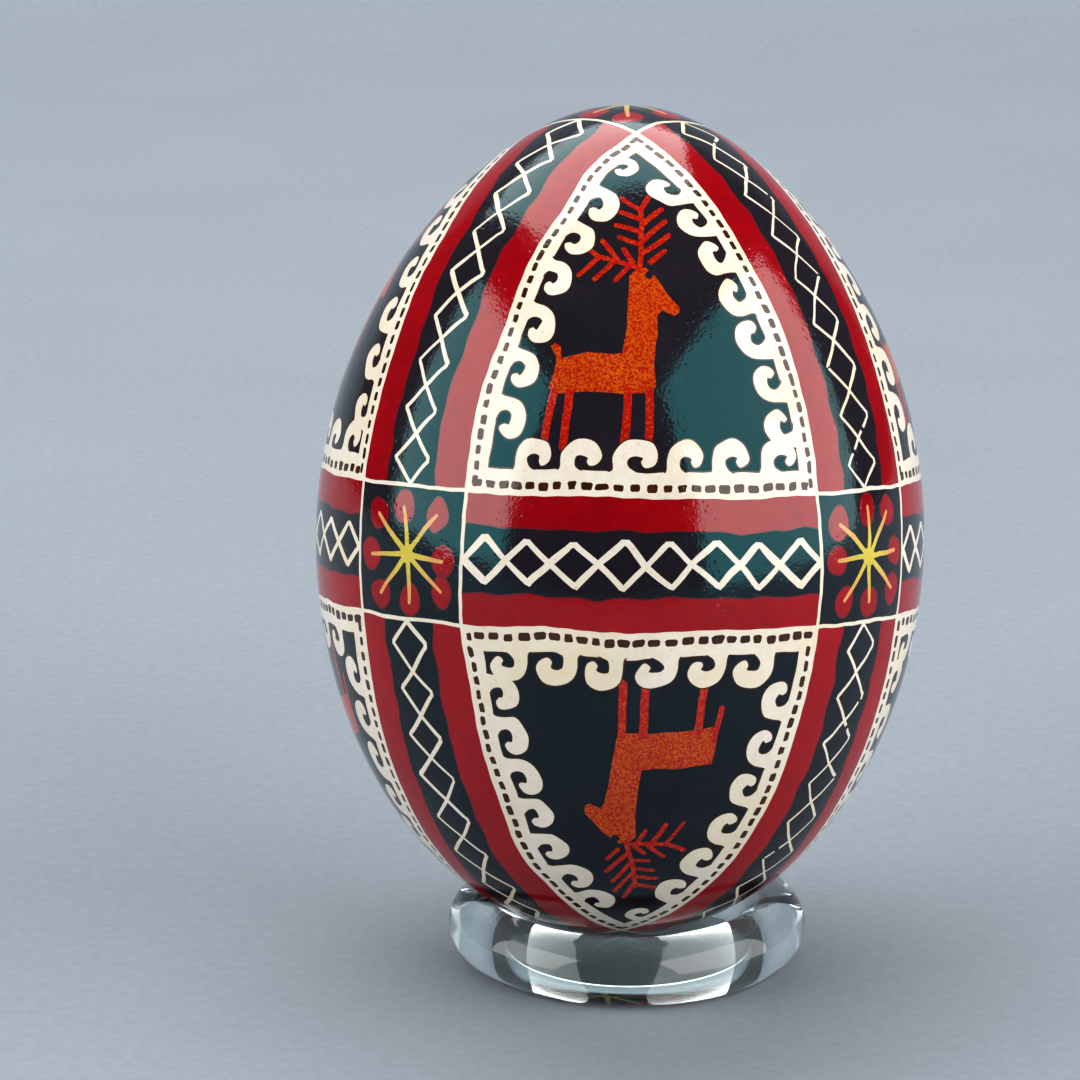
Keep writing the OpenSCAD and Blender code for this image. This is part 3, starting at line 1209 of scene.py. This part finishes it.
def membranes():
    """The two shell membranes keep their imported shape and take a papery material."""
    for name, plain in (("outer_membrane", srgb(238, 230, 214)), ("inner_membrane", srgb(232, 220, 198))):
        node = frame["nodes"][name]
        node.data.materials.clear()
        node.data.materials.append(membrane_material(name, plain))


# ---- camera, floor and light
def toward(azimuth, elevation):
    """Unit vector at an azimuth from the egg's front and an elevation, both in degrees."""
    a, e = math.radians(azimuth), math.radians(elevation)
    return Vector((math.sin(a) * math.cos(e), -math.cos(a) * math.cos(e), math.sin(e)))


def point_along(thing, way):
    thing.rotation_mode = "QUATERNION"
    thing.rotation_quaternion = way.to_track_quat("-Z", "Y")


def camera():
    """The photo's view: a long lens at a short distance."""
    data = bpy.data.cameras.new("camera")
    data.lens = LENS
    data.sensor_width = 36
    data.clip_start, data.clip_end = 0.01, 50
    cam = add_object("camera", data)
    bpy.context.scene.camera = cam
    rise = math.radians(VIEW_RISE)
    cam.location = MIDDLE + toward(VIEW_TURN, VIEW_RISE) * VIEW_DISTANCE
    aim = MIDDLE + Vector((AIM_RIGHT, 0, 0)) + Vector((0, math.sin(rise), math.cos(rise))) * AIM_UP
    point_along(cam, aim - cam.location)


def backdrop_material():
    n = Nodes("backdrop_paper")
    mottle = n.ramp(n.noise(40.0, 3.0), (0.3, srgb(135, 144, 153)), (0.7, srgb(141, 150, 159)))
    grain = n.ramp(n.noise(0.9, 2.0), (0.3, srgb(132, 141, 150)), (0.7, srgb(144, 153, 162)))
    return n.set(Base_Color=n.mix(0.5, mottle, grain), Roughness=0.9)


def backdrop():
    """Plain pale paper sweep: a floor that curves up behind the egg."""
    half, deep, bend, high = 0.64, 0.75, 0.35, 1.6
    profile = [(-0.7, 0.0), (deep - bend, 0.0)]
    profile += [(deep - bend + bend * math.sin(a), bend - bend * math.cos(a))
                for a in np.linspace(0.05, math.pi / 2, 24)]
    profile.append((deep, high))
    verts = [(x, y, z) for y, z in profile for x in (-half, half)]
    faces = [(2 * k, 2 * k + 1, 2 * k + 3, 2 * k + 2) for k in range(len(profile) - 1)]
    sweep = add_mesh("backdrop", verts, faces)
    sweep.data.materials.append(backdrop_material())


def softbox(name, azimuth, elevation, distance, width, height, glow):
    """A rectangular light facing the egg; glow is the brightness of its face."""
    away = toward(azimuth, elevation)
    data = bpy.data.lights.new(name, "AREA")
    data.shape = "RECTANGLE"
    data.size, data.size_y = width, height
    data.energy = glow * math.pi * width * height
    data.color = (1.0, 0.985, 0.97)
    lamp = add_object(name, data)
    lamp.location = MIDDLE + away * distance
    point_along(lamp, -away)


def studio_room():
    """A dim room for light and reflections, which a view past the paper's edge sees as pale grey."""
    world = bpy.data.worlds.new("studio")
    world.use_nodes = True
    tree = world.node_tree
    dim = next(n for n in tree.nodes if n.type == "BACKGROUND")
    dim.inputs["Color"].default_value = (0.62, 0.68, 0.74, 1)
    dim.inputs["Strength"].default_value = 0.11
    pale = tree.nodes.new("ShaderNodeBackground")
    pale.inputs["Color"].default_value = (*srgb(158, 170, 181), 1)
    mix = tree.nodes.new("ShaderNodeMixShader")
    path = tree.nodes.new("ShaderNodeLightPath")
    out = next(n for n in tree.nodes if n.type == "OUTPUT_WORLD")
    tree.links.new(path.outputs["Is Camera Ray"], mix.inputs[0])
    tree.links.new(dim.outputs[0], mix.inputs[1])
    tree.links.new(pale.outputs[0], mix.inputs[2])
    tree.links.new(mix.outputs[0], out.inputs["Surface"])
    bpy.context.scene.world = world


def lights():
    """Two tall softboxes at the sides, one above and behind, and the display look that suits them."""
    softbox("left_softbox", -69, 24, 0.75, 0.75, 0.66, 3.2)
    softbox("right_softbox", 65, 24, 0.75, 1.05, 0.82, 3.1)
    softbox("top_softbox", -165, 62, 0.9, 0.95, 0.7, 3.6)
    studio_room()
    bpy.context.scene.view_settings.view_transform = "Standard"
    bpy.context.scene.view_settings.look = "Medium High Contrast"


camera()
backdrop()
lights()
egg_pieces()
ring_piece()
membranes()
dried_white_piece()
dried_yolk_piece()
